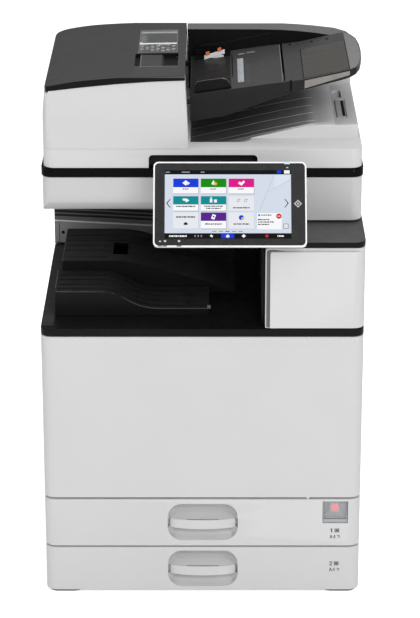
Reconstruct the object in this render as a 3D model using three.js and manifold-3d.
// Floor-standing A3 colour photocopier: engine body with two paper trays, in-body exit trays,
// flatbed scanner, hinged document feeder and a tilting touch panel.
// Millimetres, +Z up, -Y is the front, +X the right. The front door's face is at Y 0 and the
// floor at Z 0; the exported group is shifted so its origin is the centre of the footprint.
import * as THREE from "three";
import { mergeVertices } from "three/addons/utils/BufferGeometryUtils.js";
import Module from "manifold-3d";

const wasm = await Module();
wasm.setup();

// ---------- driving dimensions; pairs are [low, high] ----------
const HALF_W = 293.5; // body half width
const SKIN = 3; // thickness of the outer covers
const INNER_HALF_W = HALF_W - SKIN;
const CORNER_R = 20; // plan radius of the front corners
const INNER_R = CORNER_R - SKIN;
const COVER_FRONT = 28.3; // front edge of the side covers
const BODY_BACK = 612; // where the side covers meet the rear cover
const REAR_Y = 632; // rear cover's outer face
const COVER_Z = [9, 698];
const FACE_T = 27; // depth of the door and tray fronts
const FACE_INNER_W = 287; // half width of the hollow behind those fronts
const TRAYS = [
  { name: "tray1", faceZ: [95.8, 191.6], boxZ: [105.3, 187], gripZ: 145 },
  { name: "tray2", faceZ: [4.2, 93.2], boxZ: [15, 88.5], gripZ: 49.2 },
];
const DOOR_Z = [195.2, 514.5];
const BAND_Z = [515.8, 529.5]; // black band and exit floor
const TOWER_X = 107; // left wall of the right-hand tower
const TOWER_Z = [531.2, 683.8];
const SHELF_Z = [685.1, 696.4];
const SCAN_Y = [110, 600];
const SCAN_HALF_W = 291;
const SCAN_Z = [700, 783];
const SCAN_LEFT_Z = 724; // underside of the scanner over the exit cavity
const PLATEN_Z = [783.3, 799.3]; // black glass surround
const GLASS_OPENING = [-240, 252, 142, 452]; // x0, x1, y0, y1
const FEEDER_LEFT = -288.6; // the feeder's left face stands in from the platen frame
const FEEDER_RIGHT = 290;
const FEEDER_BASE_Z = [800.3, 836];
const PANEL_TILT = 35; // degrees back from upright
const PANEL_W = 273;
const PANEL_H = 158;
const PANEL_T = 17;
const PANEL_FOOT = [49.5, -36.8, 700.6]; // middle of the face's lower edge
const CENTRE_Y = 296.33; // footprint centre

// Hinge axes: y, z for those along X and x, z for those along Y
const DOOR_PIVOT = [8, 210];
const FEEDER_PIVOT = [575, 812];
const PANEL_PIVOT = [34, 738];
const RIGHT_DOOR_PIVOT = [287, 208];
const BYPASS_PIVOT = [285.5, 345];
const INPUT_TRAY_PIVOT = [-35, 905];
const PICKUP_PIVOT = [-92, 936];
const DOOR_HINGE_X = [-240, 200];
const RIGHT_HINGE_Y = [60, 528];
const FEEDER_HINGE_X = [-200, 200];

// ---------- solids ----------
function toSolid(geometry) {
  const source = geometry.index ? geometry.toNonIndexed() : geometry;
  const bare = new THREE.BufferGeometry();
  bare.setAttribute("position", source.getAttribute("position").clone());
  const merged = mergeVertices(bare, 1e-4);
  return new wasm.Manifold(
    new wasm.Mesh({
      numProp: 3,
      vertProperties: new Float32Array(merged.attributes.position.array),
      triVerts: new Uint32Array(merged.index.array),
    }),
  );
}

function toGeometry(solid) {
  const raw = solid.getMesh();
  const geometry = new THREE.BufferGeometry();
  const positions = new Float32Array(raw.vertProperties);
  geometry.setAttribute("position", new THREE.BufferAttribute(positions, 3));
  geometry.setIndex(new THREE.BufferAttribute(new Uint32Array(raw.triVerts), 1));
  return geometry;
}

function box(x0, x1, y0, y1, z0, z1) {
  const block = new THREE.BoxGeometry(x1 - x0, y1 - y0, z1 - z0);
  return toSolid(block.translate((x0 + x1) / 2, (y0 + y1) / 2, (z0 + z1) / 2));
}

function rodX(radius, x0, x1, y, z, segments) {
  const rod = new THREE.CylinderGeometry(radius, radius, x1 - x0, segments);
  return toSolid(rod.rotateZ(Math.PI / 2).translate((x0 + x1) / 2, y, z));
}

function rodY(radius, y0, y1, x, z, segments) {
  const rod = new THREE.CylinderGeometry(radius, radius, y1 - y0, segments);
  return toSolid(rod.translate(x, (y0 + y1) / 2, z));
}

const toVector = ([a, b]) => new THREE.Vector2(a, b);

function extrude(outline, depth) {
  const points = outline.map(toVector);
  if (THREE.ShapeUtils.isClockWise(points)) points.reverse();
  return new THREE.ExtrudeGeometry(new THREE.Shape(points), { depth, bevelEnabled: false });
}

// Prisms along each axis; outlines are [y, z], [x, z] and [x, y] points
const YZ_TO_X = new THREE.Matrix4().makeBasis(
  new THREE.Vector3(0, 1, 0),
  new THREE.Vector3(0, 0, 1),
  new THREE.Vector3(1, 0, 0),
);
const prismX = (outline, x0, x1) =>
  toSolid(extrude(outline, x1 - x0).applyMatrix4(YZ_TO_X).translate(x0, 0, 0));
const prismY = (outline, y0, y1) =>
  toSolid(extrude(outline, y1 - y0).rotateX(Math.PI / 2).translate(0, y1, 0));
const prismZ = (outline, z0, z1) => toSolid(extrude(outline, z1 - z0).translate(0, 0, z0));

const row = (count, make) => Array.from({ length: count }, (_, i) => make(i));

const arc = (a, b, radius, start, end, steps) =>
  row(steps + 1, (i) => {
    const angle = ((start + ((end - start) * i) / steps) * Math.PI) / 180;
    return [a + radius * Math.cos(angle), b + radius * Math.sin(angle)];
  });

// One radius, or one per corner: low-low, high-low, high-high, low-high
function roundRect(a0, a1, b0, b1, radius, steps = 5) {
  const radii = Array.isArray(radius) ? radius : Array(4).fill(radius);
  const corners = [[a0, b0, 1, 1, 180], [a1, b0, -1, 1, 270], [a1, b1, -1, -1, 0], [a0, b1, 1, -1, 90]];
  return corners.flatMap(([a, b, aSign, bSign, start], i) => {
    const r = radii[i];
    return r > 0 ? arc(a + aSign * r, b + bSign * r, r, start, start + 90, steps) : [[a, b]];
  });
}
const rect = (a0, a1, b0, b1) => roundRect(a0, a1, b0, b1, 0);
const grown = ([a0, a1, b0, b1], margin) => [a0 - margin, a1 + margin, b0 - margin, b1 + margin];

const bezier = (steps, ...controls) =>
  new THREE.CubicBezierCurve(...controls.map(toVector)).getPoints(steps).map(({ x, y }) => [x, y]);

const union = (first, ...rest) => rest.reduce((sum, solid) => sum.add(solid), first);
const cut = (first, ...rest) => rest.reduce((left, solid) => left.subtract(solid), first);

// ---------- materials ----------
const material = (options) => new THREE.MeshStandardMaterial(options);
const WHITE = material({ color: 0xd9d9d8, roughness: 0.55 });
const DARK = material({ color: 0x4a4a4a, roughness: 0.6 });
const BLACK = material({ color: 0x1a1a1a, roughness: 0.55 });
const STEEL = material({ color: 0x9a9da0, roughness: 0.45, metalness: 0.8 });
const RUBBER = material({ color: 0x1c1c1c, roughness: 0.9 });
const GLASS = material({ color: 0xbfd0d4, roughness: 0.05, transparent: true, opacity: 0.35 });
const GREY = material({ color: 0x8f9498, roughness: 0.6 });
const SCREEN = material({ color: 0x2b2b2c, roughness: 0.2 });
const HOT_ROLLER = material({ color: 0x7a2f22, roughness: 0.4 });
const PAD_WHITE = material({ color: 0xf0f0ee, roughness: 0.9 });

// ---------- scene ----------
const copier = new THREE.Group();
copier.position.set(0, -CENTRE_Y, 0);

function piece(name, skin, build) {
  const geometry = toGeometry(build());
  geometry.computeVertexNormals();
  const mesh = new THREE.Mesh(geometry, skin);
  mesh.name = name;
  copier.add(mesh);
}

// ================= chassis =================
const TONER_Z = 436;
const TONER_PITCH = 80;
const TONERS = [["yellow", 0xd8b81e], ["magenta", 0xb0226c], ["cyan", 0x1488b8], ["black", 0x202020]].map(
  ([name, color], i) => ({ name, color, x: -205 + i * TONER_PITCH }),
);

piece("base_frame", STEEL, () => {
  const [left, right, front, back, bottom, top] = [-288, 287.5, 34, 606, 9.5, 697];
  // x0, x1, y0, y1, z0, z1
  const plates = [
    [-286, 286, front, back, bottom, 13], // floor pan
    [left, left + 4, front, back, bottom, 512], // left side plate
    [left, left + 4, 484, back, 508, top], // left side plate behind the exit cavity
    [284, right, front, back, bottom, 196], // right side plate beside the trays
    [left, right, back - 4, back, bottom, top], // rear plate
    [-286, right, front, back, 196.1, 198.6], // deck over the trays
    [-286, 250, front, back, 509, 512.5], // deck under the exit floor
    [218, 221, 60, 604, 12, 198], // wall right of the trays
    [-286, 250, 40, 43, 198, 511], // front bulkhead
    [-286, 250, 450, 453, 198, 511], // rear bulkhead
    [247, 250, 40, 604, 198, 690], // paper-path plate
    [118, 121, 40, 604, 511, 690], // tower inner plate
    [118, 250, 40, 43, 511, 690], // tower front plate
    [118, 250, 40, 604, 683.5, 686.8], // tower top plate
    [left, right, 484, back, top - 3.5, top], // column top plate
    [-245, 75, 42, 451, 396, 399], // cradle shelf under the toner bottles
    [-284.5, -279, 60, 600, 101.6, 104.2], // tray runners
    [216, 219, 60, 600, 101.6, 104.2],
    [247, 288, 560, back, 196, top], // right rear post
    [218, right, front, front + 3.5, 12, 198], // right front post face behind the main switch
  ];
  const doorArms = DOOR_HINGE_X.flatMap((x) => [
    prismX(roundRect(4, 42, 206, 214, 3.9, 3), x, x + 4),
    rodX(3.6, x - 12, x + 16, ...DOOR_PIVOT, 16),
  ]);
  const rightDoorEars = RIGHT_HINGE_Y.flatMap((y) => [
    box(246, 290, y, y + 4, 198, 213),
    rodY(3, y - 10, y + 14, ...RIGHT_DOOR_PIVOT, 16),
  ]);
  return cut(
    union(...plates.map((plate) => box(...plate)), ...doorArms, ...rightDoorEars),
    ...TONERS.map(({ x }) => rodY(33.5, 35, 48, x, TONER_Z, 28)),
    prismX(roundRect(120, 420, 230, 380, 12, 3), 246, 251), // opening to the transfer nip
    box(246, 251, 70, 430, 420, 504),
    box(117, 122, 70, 400, 598, 640), // exit slot
    box(-150, 150, 601, 607, 240, 480),
  );
});

// Front feet reach out under the lower tray's front and carry a smaller block
const FOOT_TOP = 9.5;
for (const [side, x0, x1] of [["right", 226, 287], ["left", -287, -226]]) {
  piece(`foot_front_${side}`, RUBBER, () =>
    union(
      prismZ(roundRect(x0, x1, 5, 72, 14, 3), 0, 3.6),
      prismZ(roundRect(x0 + 6, x1 - 6, 31, 68, 8, 3), 3, FOOT_TOP),
    ),
  );
}
for (const [side, x0, x1] of [["right", 228, 284], ["left", -284, -228]]) {
  piece(`foot_rear_${side}`, RUBBER, () =>
    prismZ(roundRect(x0, x1, 540, 596, 14, 3), 0, FOOT_TOP),
  );
}

// ================= outer covers =================
const LIFTING_GRIP = roundRect(250, 350, 150, 176, 8, 3);

// One skin that steps up behind the exit cavity
piece("left_cover", WHITE, () => {
  const [bottom, top] = COVER_Z;
  const outline = [
    [COVER_FRONT, bottom], [BODY_BACK, bottom], [BODY_BACK, top],
    [484, top], [484, 514.5], [COVER_FRONT, 514.5],
  ];
  const ribs = union(
    prismX(outline, -HALF_W, -INNER_HALF_W),
    box(-291, -288.6, 40, 46, 30, 500),
    box(-291, -288.6, 590, 598, 30, 690),
  );
  const louvres = row(9, (i) => box(-295, -288, 430, 560, 300 + i * 14, 304.5 + i * 14));
  return cut(ribs, ...louvres, prismX(LIFTING_GRIP, -295, -288));
});

piece("right_lower_cover", WHITE, () => {
  const ribbed = union(
    prismX(rect(COVER_FRONT, BODY_BACK, COVER_Z[0], 197.7), INNER_HALF_W, HALF_W),
    box(288, 291, 40, 46, 20, 190),
    box(288, 291, 590, 598, 20, 190),
  );
  return cut(ribbed, prismX(LIFTING_GRIP, 287, 295));
});

piece("rear_cover", WHITE, () => {
  const plan = roundRect(-HALF_W, HALF_W, BODY_BACK - 60, REAR_Y, [0, 0, 9, 9], 4);
  const shell = cut(
    prismZ(plan, ...COVER_Z),
    box(-INNER_HALF_W, INNER_HALF_W, 500, REAR_Y - SKIN, 0, 720),
    box(-300, -280, 500, BODY_BACK + 0.3, 0, 720), // left return is short
    box(280, 300, 500, 620, 0, 198), // right return clears the lower cover
  );
  const edged = union(
    shell,
    prismX(rect(548, 560, 198.4, COVER_Z[1]), INNER_HALF_W, HALF_W),
    box(-290.6, 290.6, REAR_Y - 4, REAR_Y, COVER_Z[1] - 4, COVER_Z[1]),
    box(-290.6, 290.6, 618, REAR_Y, COVER_Z[0], 11.5),
  );
  return cut(
    edged,
    ...row(10, (i) => box(-200, -60, 620, 640, 380 + i * 16, 386 + i * 16)), // louvres
    ...row(6, (i) => box(60, 200, 620, 640, 120 + i * 16, 126 + i * 16)),
    box(150, 196, 620, 640, 40, 74), // power inlet
    box(-230, -120, 620, 640, 250, 290), // interface ports
  );
});

// ================= exit cavity =================
const FRONT_RADII = [CORNER_R, CORNER_R, 0, 0];
const FACE_PLAN = roundRect(-HALF_W, HALF_W, 0, FACE_T, FRONT_RADII);

// Floor and black band in one moulding
piece("exit_floor", BLACK, () => {
  const floor = prismZ(rect(-HALF_W, TOWER_X - 0.5, 10, 474), ...BAND_Z);
  const bodyPlan = prismZ(roundRect(-HALF_W, HALF_W, 0, 480, FRONT_RADII), ...BAND_Z);
  return union(prismZ(FACE_PLAN, ...BAND_Z), floor.intersect(bodyPlan));
});

// Rear wall, tower wall and the upper exit tray, which slopes down to the right
piece("exit_inner_cover", BLACK, () => {
  const left = -262;
  const front = 192;
  const back = 380;
  // x, z of the tray's upper surface
  const surface = [
    [left, 593], [-160, 593], [-141, 591.8], [-119, 587.8], [-98, 582], [-76, 575.4],
    [-54, 568.8], [-28, 561.5], [0, 554.2], [21, 548], [40, 539.5], [62, 530.6],
  ];
  const underside = surface.map(([x, z]) => [x, Math.max(z - 5, 530)]).reverse();
  const tray = prismY([...surface, ...underside], front, back);
  const sensorSlot = box(-169, -141.5, 231, 297, 575, 600);
  const skirtOutline = [...surface.map(([x, z]) => [x, Math.max(z - 2, 530.4)]), [left, 530]];
  const skirts = union(
    prismY(skirtOutline, front, front + 4),
    prismY(skirtOutline, back - 4, back),
  );
  const trench = box(left, 62, back - 2, 476, 530, 532.5); // floor from the tray to the wall
  const leftEnd = box(left, left + 5, front, back, 530, 588);
  const relief = [[-246, 610], [60, 566], [60, 600], [-60, 660], [-150, 668], [-246, 668]];
  const rearWall = cut(box(-HALF_W, TOWER_X, 475, 481, 530, 722), prismY(relief, 474, 478));
  const towerWall = cut(
    box(TOWER_X, TOWER_X + 5, 27.5, 481, 530, SHELF_Z[0] - 0.9),
    box(100, 115, 70, 400, 598, 640), // exit slot
  );
  const ledge = box(-HALF_W, TOWER_X - 0.4, 462, 476, 690, 697);
  return union(cut(tray, sensorSlot), skirts, trench, leftEnd, rearWall, towerWall, ledge);
});

// Insert tray at the front: high on the left, dipping to the right
piece("lower_exit_tray", BLACK, () => {
  const wall = 3.5;
  const surface = (inset) => {
    const high = 576 - inset;
    const low = 543.5 - inset;
    return [
      [-270 + inset, high],
      ...bezier(12, [-190, high], [-135, high], [-140, low], [-78, low]),
      [12 - inset, low],
    ];
  };
  const outer = [...surface(0), [12, 529.9], [-270, 529.9]];
  const inner = [...surface(wall), [12 - wall, 520], [-270 + wall, 520]];
  return cut(prismY(outer, 70, 188), prismY(inner, 70 + wall, 188 - wall));
});

// ================= right-hand tower =================
piece("tower_front_cover", WHITE, () => {
  const left = 113.8;
  const [bottom, top] = TOWER_Z;
  const hollow = roundRect(126, FACE_INNER_W, 3, 40, [0, INNER_R, 0, 0]);
  const shell = union(
    cut(
      prismZ(roundRect(left, HALF_W, 0, FACE_T, [4, CORNER_R, 0, 0]), bottom, top),
      prismZ(hollow, bottom + 3, top - 10),
    ),
    box(286, 291, 18, FACE_T, bottom, top),
  );
  const cornerTrim = cut(
    box(110, 121, -1, 60, top - 7, top + 2),
    prismY(roundRect(left, 320, 500, top, [0, 0, 0, 6.5]), -2, 61),
  );
  // step along the face's left and top edges
  const edgeStep = cut(
    box(110, 300, -1, 3.4, 525, top + 2),
    prismY(roundRect(122.3, 320, 500, top - 6.3, [0, 0, 0, 5]), -2, 4),
  );
  return cut(shell, cornerTrim, edgeStep);
});

piece("tower_shelf_cover", DARK, () =>
  cut(
    prismZ(roundRect(TOWER_X, HALF_W, 0, 474, [4, CORNER_R, 0, 0]), ...SHELF_Z),
    box(TOWER_X + 4, 289, 28, 480, 680, SHELF_Z[1] - 3.5),
  ),
);

// ================= front door =================
function doorKnuckle(x0, x1) {
  const barrel = union(rodX(6.2, x0, x1, ...DOOR_PIVOT, 16), box(x0, x1, 2, 8, 201, 210));
  return cut(barrel, rodX(3.9, x0 - 1, x1 + 1, ...DOOR_PIVOT, 16));
}

piece("front_door", WHITE, () => {
  const [bottom, top] = DOOR_Z;
  const hollow = roundRect(-FACE_INNER_W, FACE_INNER_W, 3, 40, [INNER_R, INNER_R, 0, 0]);
  let door = cut(prismZ(FACE_PLAN, bottom, top), prismZ(hollow, bottom + 4, top - 4));
  // knuckles on the hinge pins, either side of each frame arm
  for (const x of DOOR_HINGE_X) {
    door = union(door, doorKnuckle(x - 11, x - 1), doorKnuckle(x + 5, x + 15));
    door = cut(door, box(x - 1, x + 5, 3, 40, 190, 222), box(x - 14, x + 18, 15, 40, 197, 222));
  }
  const ribs = [box(-100, -97, 2.5, 20, 201, 511), box(97, 100, 2.5, 20, 201, 511)];
  // the lower back edge swings inside the side covers' front edges
  const relief = [[20.6, 194], [21.2, 195.2], [24, 198], [27, 204], [30, 204], [30, 194]];
  return cut(union(door, ...ribs), prismX(relief, -300, 300));
});

// ================= paper trays =================
const WINDOW = [223.5, 270.5, 142.5, 187.5]; // x0, x1, z0, z1 in the upper tray's front
const boxXZ = ([x0, x1, z0, z1], y0, y1) => box(x0, x1, y0, y1, z0, z1);

// Oval mouth running back into scooped walls
function gripRecess(gripZ) {
  const mouth = prismY(roundRect(-64.5, 65.5, gripZ - 37, gripZ + 37, 26, 5), -1, 23);
  const plan = [
    [-66, -1],
    ...bezier(6, [-64.6, 0], [-62, 15], [-52, 22], [-32, 22]),
    ...bezier(6, [33, 22], [53, 22], [63, 15], [65.6, 0]),
    [67, -1],
  ];
  const side = [
    [-1, gripZ - 37.6],
    ...bezier(6, [0, gripZ - 37], [12, gripZ - 36], [22, gripZ - 28], [22, gripZ - 14]),
    ...bezier(6, [22, gripZ + 14], [22, gripZ + 28], [12, gripZ + 36], [0, gripZ + 37]),
    [-1, gripZ + 37.6],
  ];
  return mouth.intersect(prismZ(plan, gripZ - 40, gripZ + 40)).intersect(prismX(side, -70, 70));
}

// Bar bowed forward, its top rising to the back wall
function gripBar(gripZ) {
  const bow = [...bezier(10, [-60.3, 9], [-30, -1.6], [31, -1.6], [61.3, 9]), [61.3, 24], [-60.3, 24]];
  // y, height from the grip's centre
  const side = [
    [-1, -15.6], [9, -13.8], [24, -11], [24, 11], [22, 10], [16, 6.9], [10, 4.3], [5, 3.2], [-1, 2.5],
  ].map(([y, rise]) => [y, gripZ + rise]);
  return prismZ(bow, gripZ - 20, gripZ + 20).intersect(prismX(side, -70, 70));
}

function trayFront({ name, faceZ: [z0, z1], gripZ }) {
  const leftHollow = roundRect(-FACE_INNER_W, -72, 3, 40, [INNER_R, 0, 0, 0]);
  const rightHollow = roundRect(72, FACE_INNER_W, 3, 40, [0, INNER_R, 0, 0]);
  const shell = cut(
    prismZ(FACE_PLAN, z0, z1),
    prismZ(leftHollow, z0 + 4, z1 - 4),
    prismZ(rightHollow, z0 + 4, z1 - 4),
    gripRecess(gripZ),
  );
  const face = cut(
    union(shell, gripBar(gripZ)),
    box(-64.8, -60.3, -1, 15, gripZ - 13, gripZ + 5), // gaps beside the bar
    box(61.3, 65.8, -1, 15, gripZ - 13, gripZ + 5),
    box(-30, 31, 4.4, 6.4, gripZ + 1, gripZ + 6), // groove for the release lever
  );
  if (name !== "tray1") return face;
  return cut(union(face, boxXZ(grown(WINDOW, 3), 2.5, FACE_T)), boxXZ(WINDOW, -1, 40));
}

function paperTray(tray) {
  const { name, boxZ: [bottom, top] } = tray;
  piece(`${name}_front`, WHITE, () => trayFront(tray));
  piece(`${name}_box`, BLACK, () =>
    cut(
      box(-276, 214, FACE_T + 0.4, 470, bottom, top),
      box(-273, 211, 31, 467, bottom + 3, top + 10),
      box(160, 220, 120, 380, bottom + 34, top + 10), // relief for the feed rollers
    ),
  );
  const foot = bottom + 3.5;
  const head = foot + 58;
  // wall at y, with its foot and rib on the outer side from y0 to y1
  const sideFence = (y, y0, y1) =>
    union(
      box(-110, 70, y, y + 3, foot, head),
      box(-80, 40, y0, y1, foot, foot + 3),
      box(-30, -10, y0, y1, foot, foot + 30),
    );
  piece(`${name}_side_fence_front`, GREY, () => sideFence(98.5, 86.5, 99.5));
  piece(`${name}_side_fence_rear`, GREY, () => sideFence(398.5, 400.5, 413.5));
  piece(`${name}_end_fence`, GREY, () =>
    union(
      box(-246, -242, 205, 295, foot, head),
      box(-262, -243, 225, 275, foot, foot + 4),
      box(-262, -243, 245, 255, foot, foot + 34),
    ),
  );
}
TRAYS.forEach(paperTray);

// Main switch behind the window
const SWITCH = grown(WINDOW, -1);
const [SWITCH_LEFT, SWITCH_RIGHT, SWITCH_BOTTOM, SWITCH_TOP] = SWITCH;
piece("switch_housing", GREY, () =>
  cut(
    boxXZ(SWITCH, 3, 33.6),
    box(SWITCH_LEFT + 1.8, SWITCH_RIGHT - 1.8, 0, 20, SWITCH_BOTTOM + 6, SWITCH_TOP - 1.8),
    box(237, 257, 15, 30, 158, 184), // rocker well
  ),
);
piece("power_rocker", BLACK, () => {
  const [x0, x1] = [237.6, 256.4];
  const side = [[14, 159], [20.4, 159], [20.4, 183], [17, 183], [15.5, 171]];
  return union(prismX(side, x0, x1), rodX(2, x0, x1, 21, 171, 12));
});
piece("switch_cover", GLASS, () => {
  const [x0, x1] = [SWITCH_LEFT + 2.4, SWITCH_RIGHT - 2.4];
  return union(
    box(x0, x1, 4.5, 6.3, SWITCH_BOTTOM + 7.5, SWITCH_TOP - 2.6),
    rodX(1.8, x0, x1, 6.3, SWITCH_BOTTOM + 8.3, 12),
  );
});

// ================= engine =================
// radius, y from the cap back to the tail
const BOTTLE_OUTLINE = [
  [0, 31], [24, 31], [29.5, 33], [30.5, 36], [30.5, 58], [29, 60], [29, 66],
  [31, 70], [31, 425], [27, 432], [12, 434], [12, 444], [0, 444],
];

for (const { name, color, x } of TONERS) {
  const tint = material({ color, roughness: 0.6 });
  piece(`toner_${name}`, tint, () => {
    const lathe = new THREE.LatheGeometry(BOTTLE_OUTLINE.map(toVector), 24);
    // two pockets leave a grip bar across the cap
    const pocket = (x0, x1) => box(x0, x1, 29, 38, TONER_Z - 16, TONER_Z + 16);
    const bottle = toSolid(lathe.translate(x, 0, TONER_Z));
    return cut(bottle, pocket(x - 22, x - 5), pocket(x + 5, x + 22));
  });
  piece(`drum_${name}`, tint, () =>
    union(rodY(15, 62, 400, x, 336, 24), rodY(4, 43.5, 449.5, x, 336, 12)),
  );
}

piece("transfer_belt", BLACK, () =>
  union(
    prismY(roundRect(-245, 95, 290, 320.4, 15, 5), 64, 398),
    rodY(5, 43.5, 449.5, -228, 305, 12),
    rodY(5, 43.5, 449.5, 78, 305, 12),
  ),
);

const HEAT_AXIS = [181, 462]; // x, z
const PRESSURE_AXIS = [222, 462];
piece("fuser_housing", BLACK, () =>
  cut(
    box(146, 246, 62, 440, 424, 500),
    box(152, 260, 70, 432, 430, 494),
    box(165, 238, 70, 432, 420, 510),
    rodY(6.4, 60, 442, ...HEAT_AXIS, 16),
    rodY(6.4, 60, 442, ...PRESSURE_AXIS, 16),
  ),
);
const fuserRoller = (radius, axis) =>
  union(rodY(radius, 74, 428, ...axis, 24), rodY(6, 60.5, 441.5, ...axis, 16));
piece("heat_roller", HOT_ROLLER, () => fuserRoller(20.4, HEAT_AXIS));
piece("pressure_roller", RUBBER, () => fuserRoller(20, PRESSURE_AXIS));

// ================= right door and bypass tray =================
piece("right_door", WHITE, () => {
  const outline = [[255.5, 202], [290, 199.6], [HALF_W, 203], [HALF_W, 684], [255.5, 684]];
  const shell = cut(
    prismY(outline, 28.6, 540),
    box(250, INNER_HALF_W, 32, 56, 206, 680), // hollows
    box(250, 276.5, 56, 536.5, 640, 680),
    box(250, 272, 80, 500, 225, 625), // duplex path recess
    prismX(roundRect(118, 482, 337, 566, [0, 0, 6, 6], 3), 276.5, 300), // bypass recess
    prismX(roundRect(230, 370, 606, 630, 8, 3), 282, 300), // release grip
    ...RIGHT_HINGE_Y.flatMap((y) => [
      box(240, 300, y - 1, y + 5, 190, 230),
      rodY(3.3, y - 12, y + 16, ...RIGHT_DOOR_PIVOT, 16),
    ]),
  );
  // guide ribs of the duplex path
  return union(shell, ...row(6, (i) => box(258, 272.5, 110 + i * 72, 113 + i * 72, 235, 615)));
});

piece("bypass_tray", WHITE, () => {
  const leaf = cut(
    prismX(roundRect(120, 480, 339, 564, [0, 0, 5, 5], 3), 279.5, HALF_W),
    box(270, INNER_HALF_W, 124, 476, 352, 560),
  );
  const fitted = union(
    leaf,
    box(281, 291, 170, 174, 356, 520), // paper guides
    box(281, 291, 426, 430, 356, 520),
    rodY(5, 120, 480, ...BYPASS_PIVOT, 16),
  );
  return cut(fitted, box(270, 280.6, 110, 490, 330, 352), box(290.4, 300, 110, 490, 330, 344));
});

// ================= scanner =================
const LID_RADII = [CORNER_R, CORNER_R, 8, 8];

piece("scanner_housing", WHITE, () => {
  // on the left the front rolls under to a lip, with a raised underside over the cavity
  const underside = [
    [90, 690], [90, 747], ...arc(144, 747, 34, 180, 270, 8), [150, 713], [157, 719],
    [160, SCAN_LEFT_Z], [483, SCAN_LEFT_Z], [483, 690],
  ];
  const tub = cut(
    prismZ(roundRect(-SCAN_HALF_W, SCAN_HALF_W, ...SCAN_Y, LID_RADII), ...SCAN_Z),
    box(-284, 284, 118, 593, 731, 800),
    prismX(underside, -300, TOWER_X + 0.4),
  );
  const rail = (y) => box(-284.5, 284.5, y, y + 8, 730, 764);
  return union(tub, rail(150), rail(470));
});

piece("scanner_top_frame", BLACK, () => {
  const halfWidth = SCAN_HALF_W + 2;
  const plan = roundRect(-halfWidth, halfWidth, SCAN_Y[0] - 2, SCAN_Y[1], LID_RADII);
  let frame = cut(
    prismZ(plan, ...PLATEN_Z),
    box(...GLASS_OPENING, 780, 805),
    box(...grown(GLASS_OPENING, 6), 794.7, 805),
  );
  // pairs of hinge cheeks
  const cheek = [[561.5, 799], [590, 799], [590, 806], [582, 820], [569, 820], [561.5, 806]];
  for (const x of FEEDER_HINGE_X) {
    frame = union(frame, ...[x - 26, x + 17].map((x0) => prismX(cheek, x0, x0 + 9)));
    frame = cut(frame, rodX(4.4, x - 40, x + 40, ...FEEDER_PIVOT, 16));
  }
  return frame;
});

piece("exposure_glass", GLASS, () => box(...grown(GLASS_OPENING, 5.5), 795, 799));
piece("scan_carriage", BLACK, () =>
  union(box(-236, -196, 126, 500, 764.5, 779), box(-230, -202, 140, 456, 778, 782.8)),
);

// ================= document feeder =================
const PLATEN_PAD = [-195, 255, 138, 452]; // x0, x1, y0, y1

// Platen cover with the output tray moulded into its right half
piece("adf_base", WHITE, () => {
  const ramp = [
    [89.5, 836], [107, 840], [122, 843.2], [165, 852], [184, 855.8], [195, 857.7],
    [205, 858.9], [217, 859.6], [285, 862], [285, 830], [89.5, 830],
  ];
  const sheetWell = [[-22, 811], [45, 825.6], [89.1, 835.6], [89.5, 848], [-22, 848]];
  const solid = union(
    prismZ(roundRect(FEEDER_LEFT, FEEDER_RIGHT, 110, 560, LID_RADII), ...FEEDER_BASE_Z),
    prismY(ramp, 181, 457),
    box(-22, 285, 456, 531, 835, 884), // rear block under the rail
  );
  const hollowed = cut(
    solid,
    prismY(sheetWell, 155, 455.5),
    prismY(roundRect(-97, 100, 790, 825, [0, 0, 7, 7], 3), 100, 127), // lifting grip
    box(...grown(PLATEN_PAD, 1), 799, 805),
    prismX(rect(228, 350, 857, 870), 247.5, 268), // stopper pocket
    prismZ(roundRect(246, 263, 361, 415, 8, 4), 855.5, 870), // finger dent behind it
  );
  const hinges = FEEDER_HINGE_X.flatMap((x) => [
    box(x - 15, x + 15, 556, 581, 803, 821),
    rodX(4, x - 25, x + 25, ...FEEDER_PIVOT, 16),
  ]);
  return union(hollowed, ...hinges);
});
piece("platen_pad", PAD_WHITE, () => box(...PLATEN_PAD, 799.6, 804.6));
piece("output_stopper", GREY, () =>
  union(box(250, 266.5, 230, 348, 857.4, 861), rodY(2, 230, 348, 251, 859.3, 12)),
);

// x, z of the seam between the casing and its top cover
const RIM = [
  [-278, 939.5], [-276, 943], [-255, 945.6], [-219, 949.8], [-183, 953.4],
  [-156, 956], [-130, 958], [-94, 960.4], [-58, 961.9],
];

// Casing that draws in above its waist
piece("adf_body", WHITE, () => {
  const front = [
    [FEEDER_LEFT, 836.3], [-24.5, 836.3], [-31, 962.6],
    ...[...RIM].reverse(),
    [FEEDER_LEFT + 4.2, 939.5], [FEEDER_LEFT, 894],
  ];
  const side = [[110, 830], [531, 830], [531, 905], [524, 980], [116, 980], [110, 894]];
  const plan = roundRect(FEEDER_LEFT - 0.1, -20, 109.9, 531.2, [CORNER_R, 7, 2, 22]);
  return cut(
    prismY(front, 105, 535).intersect(prismX(side, -300, 0)).intersect(prismZ(plan, 830, 980)),
    box(-276, -42, 128, 512, 850, 990), // roller bay
    box(-60, -10, 168, 462, 853, 990), // sheet entry
    rodY(3.9, 160, 470, ...INPUT_TRAY_PIVOT, 14), // input tray bearings
  );
});

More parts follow.
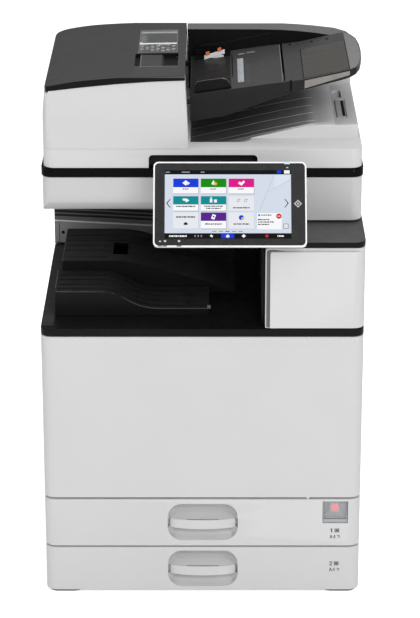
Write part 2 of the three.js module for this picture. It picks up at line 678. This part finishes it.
piece("adf_top_cover", DARK, () => {
  const top = [
    [-284.2, 948.6], [-281, 951], [-268, 954.3], [-253, 957.2], [-235, 960.2], [-215, 962.8],
    [-183, 965.8], [-160, 967.5], [-130, 969], [-100, 970], [-65, 970.8], [-31, 971],
  ];
  const seam = RIM.slice(1).reverse().map(([x, z]) => [x, z + 0.9]);
  const underside = [[-31, 963.2], ...seam, [-278, 942.2], [-284, 942.2]];
  const plan = roundRect(-284.3, -30, 112.5, 517, [INNER_R, 5, 3, 26]);
  const side = [
    [111, 930], [519, 930], [519, 962], [512, 969], [500, 971.2],
    [135, 971.6], [120, 971.2], [113, 968], [111, 960],
  ];
  return cut(
    prismY([...top, ...underside], 111, 520)
      .intersect(prismZ(plan, 930, 980))
      .intersect(prismX(side, -300, 0)),
    prismZ(roundRect(-124, -44, 185, 275, 3, 2), 964, 980), // grip well
    box(-50, -20, 168, 462, 955, 964.6), // clears the sheet entry
  );
});
piece("adf_latch", DARK, () =>
  union(box(-113.5, -72.5, 187, 273, 965, 968.6), rodY(1.6, 187, 273, -113.5, 966.8, 12)),
);

// Rail behind the input tray
piece("adf_rear_cover", DARK, () => {
  const front = [
    [-26.4, 884.5], [284, 884.5], [286.5, 938], [286.5, 944], [277, 951], [255, 957.5],
    [214, 963.5], [180, 967], [150, 969], [110, 970], [-29.2, 970.4],
  ];
  const side = [[457, 880], [519, 880], [519, 958], [510, 968.6], [500, 971], [457, 971]];
  return cut(
    prismY(front, 457, 519).intersect(prismX(side, -40, 300)),
    box(-26, 282, 466, 530, 880, 930),
  );
});

// Wedge-shaped original tray
piece("input_tray", BLACK, () => {
  const wedge = [[-22, 868], [40, 878], [147.5, 917], [147.5, 942.4], [123, 939.5], [-22, 918.5]];
  const frontTab = [[146, 916.3], [159, 921], [159, 944.7], [146, 942.2]];
  const hollow = [[-30, 860], [36, 871.5], [142, 911], [142, 936.5], [122, 934], [-30, 911.6]];
  const tray = cut(
    union(prismY(wedge, 178, 452), prismY(frontTab, 178, 185.5)),
    prismY(hollow, 183, 447),
    box(6, 40, 184, 446, 918, 921), // guide channel
  );
  const lug = roundRect(-39.5, -18, 900.5, 909.5, 4.4, 3);
  return union(
    tray,
    ...[178, 446].map((y) => prismY(lug, y, y + 6)),
    rodY(3.5, 163.5, 179, ...INPUT_TRAY_PIVOT, 14),
    rodY(3.5, 451, 466.5, ...INPUT_TRAY_PIVOT, 14),
  );
});

// Sheet guides standing on the tray's slope
const slopeZ = (x) => 918.5 + ((x + 22) * 21) / 145;
const GUIDE_FOOT = [[-14, slopeZ(-14) + 0.8], [53, slopeZ(53) + 0.8]];
const GUIDE_FENCE = [
  ...GUIDE_FOOT, [51, 937], [44, 945.5], [36, 948], [2, 943.5], [-9, 941], [-14, 934],
];
const GUIDE_DECK = [...GUIDE_FOOT, [53, slopeZ(53) + 2.6], [-14, slopeZ(-14) + 2.6]];
piece("guide_front", BLACK, () =>
  union(prismY(GUIDE_FENCE, 186, 190), prismY(GUIDE_DECK, 186, 214)),
);
piece("guide_rear", BLACK, () =>
  union(
    prismY(GUIDE_FENCE, 440, 444),
    prismY(GUIDE_DECK, 416, 444),
    prismY([[-6, 941.8], [44, 945.4], [40, 949], [0, 945.2]], 430, 444),
  ),
);

// Extension leaf with its rounded outer end
piece("tray_extension", BLACK, () => {
  const front = [
    [151.5, 943], [186, 947.6], [250, 961.8], [296.5, 972.5],
    [296.5, 962], [262, 948.5], [186, 928], [151.5, 918.5],
  ];
  const plan = [
    [162.5, 178], [270, 179], [280, 185], [287, 205], [291.5, 240], [293.4, 290], [293, 340],
    [289, 390], [281, 425], [270, 448], [262, 452], [151.5, 452], [151.5, 186.5], [162.5, 186.5],
  ];
  const pocketPlan = roundRect(186, 257, 186, 405, [6, 2, 2, 6], 3);
  const pocketFront = [[186, 900], [257, 900], [257, 946], [186, 930.5]];
  return cut(
    prismY(front, 170, 460).intersect(prismZ(plan, 900, 990)),
    prismZ(pocketPlan, 900, 944).intersect(prismY(pocketFront, 180, 410)),
  );
});

// Yoke swinging on the feed roller's shaft, held up clear of the sheets
piece("pickup_arm", GREY, () => {
  const [x, z] = PICKUP_PIVOT;
  const cheek = [
    [x - 6, z - 5], [x + 4, z - 7], [-50, 934], [-42, 938], [-42, 946], [-50, 949], [x, z + 6],
  ];
  const bridge = [[x + 14, z + 3], [-62, 943], [-62, 947.4], [x + 14, z + 7]];
  return union(
    union(prismY(cheek, 292, 295), prismY(cheek, 345, 348), prismY(bridge, 294, 346)),
    rodY(4, 128.6, 511.4, x, z, 12),
    rodY(11, 300, 340, x, z, 18),
    rodY(9, 302, 338, -50, 941, 18),
    rodY(3, 294, 346, -50, 941, 10),
  );
});

// ================= operation panel =================
// Panel frame: x = world x, y = depth behind the face, z = up the face
const PANEL_PLACE = new THREE.Matrix4()
  .makeTranslation(...PANEL_FOOT)
  .multiply(new THREE.Matrix4().makeRotationX((-PANEL_TILT * Math.PI) / 180));
const tilted = (solid) => toSolid(toGeometry(solid).applyMatrix4(PANEL_PLACE));
const PANEL_HALF = PANEL_W / 2;
const panelOutline = (inset, radius) =>
  roundRect(-PANEL_HALF + inset, PANEL_HALF - inset, inset, PANEL_H - inset, radius, 4);

piece("panel_shell", WHITE, () => {
  // the back tapers in from the rim
  const side = [
    [0, -1], [5.8, -1], [17.5, 13], [17.5, PANEL_H - 13], [5.8, PANEL_H + 1], [0, PANEL_H + 1],
  ];
  const rim = PANEL_HALF + 1;
  const back = PANEL_HALF - 12;
  const plan = [[-rim, 0], [rim, 0], [rim, 5.8], [back, 17.5], [-back, 17.5], [-rim, 5.8]];
  const shell = cut(prismY(panelOutline(0, 9), 0.8, PANEL_T), prismY(panelOutline(2.6, 7), -1, 5.2))
    .intersect(prismX(side, -200, 200))
    .intersect(prismZ(plan, -10, 200));
  const lug = [[-8, 716], [34, 728], [42, 733], [42, 742], [36, 746], [14, 752]];
  return union(
    tilted(shell),
    prismX(lug, 113, 119.5),
    prismX(lug, 160.5, 167),
    rodX(5, 113, 167, ...PANEL_PIVOT, 16),
  );
});

piece("panel_screen", SCREEN, () => tilted(prismY(panelOutline(3, 6.6), 0, 4.9)));

piece("panel_arm", DARK, () => {
  const side = [
    [38, 696.8], [98, 696.8], [98, 701], [70, 704.5], [44, 735], [44, 743],
    [40, 748], [28, 748], [24, 742], [24, 734], [30, 728], [40, 712],
  ];
  const arm = union(prismX(side, 121, 159), box(112, 180, 45, 98, 696.8, 700.4));
  return cut(arm, rodX(5.4, 100, 190, ...PANEL_PIVOT, 16));
});

export default copier;
